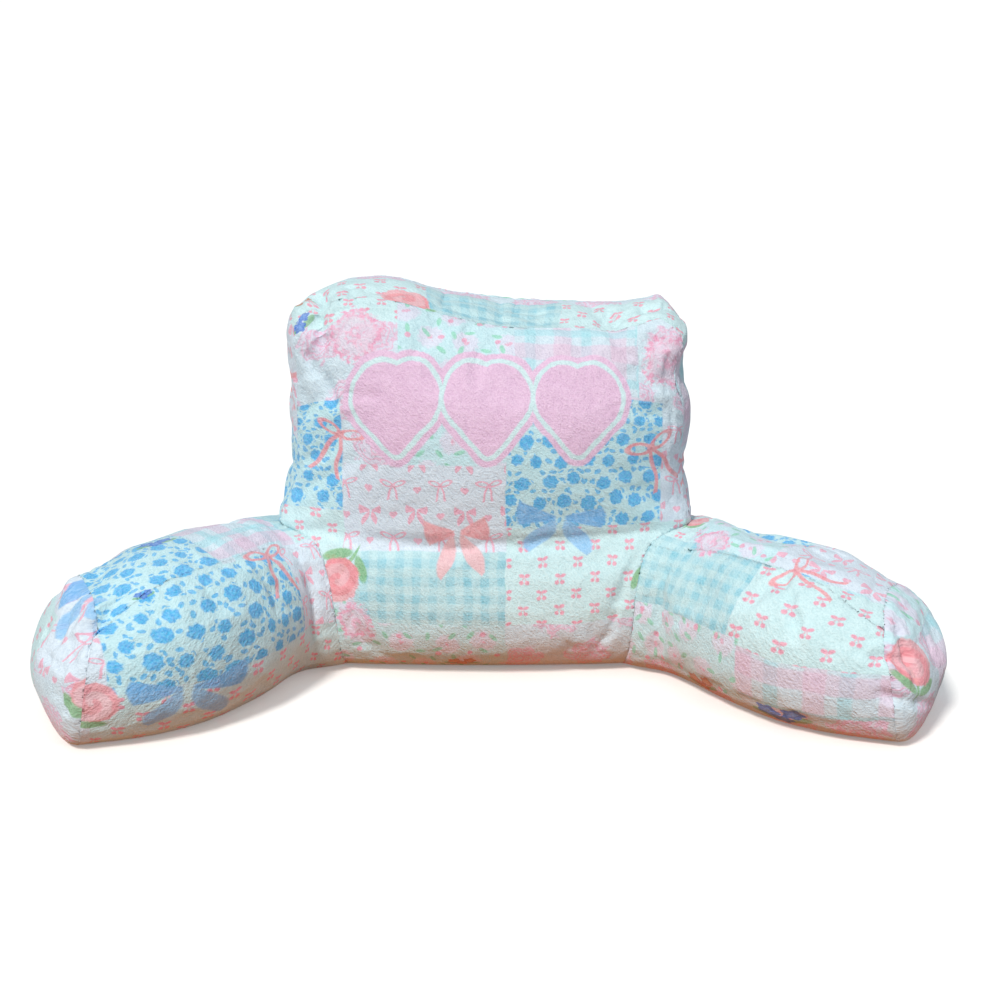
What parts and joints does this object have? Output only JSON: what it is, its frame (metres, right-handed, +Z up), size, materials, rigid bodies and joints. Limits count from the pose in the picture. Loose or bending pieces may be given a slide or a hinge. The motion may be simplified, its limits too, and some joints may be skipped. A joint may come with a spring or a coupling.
{
  "type": "reading pillow with arms",
  "caption": "Stuffed plush backrest pillow with a boxed upright back and two splayed arms, which stands on a bed or floor and props up a sitter's back and elbows.",
  "frame": {"origin": "on the floor, at the middle of the pillow's footprint", "axes": "+Z up, +X across the pillow to the right as the sitter's side is seen, and the face that the sitter leans on looks to -Y"},
  "size_m": [0.9832, 0.4116, 0.4257],
  "materials": {
    "front_print": "short-pile plush, patchwork print in mint, pink and blue",
    "boxing_print": "short-pile plush, mint and gingham print",
    "rear_print": "short-pile plush, patchwork print in mint, pink and blue",
    "left_arm_print": "short-pile plush, patchwork print, mostly blue flowers and pink bows",
    "right_arm_print": "short-pile plush, patchwork print, mint with pink cherries"
  },
  "bodies": {
    "root": {"front_panel": "front_print", "boxing_band": "boxing_print", "rear_panel": "rear_print", "arm_left_upper": "left_arm_print", "arm_left_inner": "left_arm_print", "arm_left_end": "left_arm_print", "arm_right_upper": "right_arm_print", "arm_right_inner": "right_arm_print", "arm_right_end": "right_arm_print"}
  },
  "joints": []
}
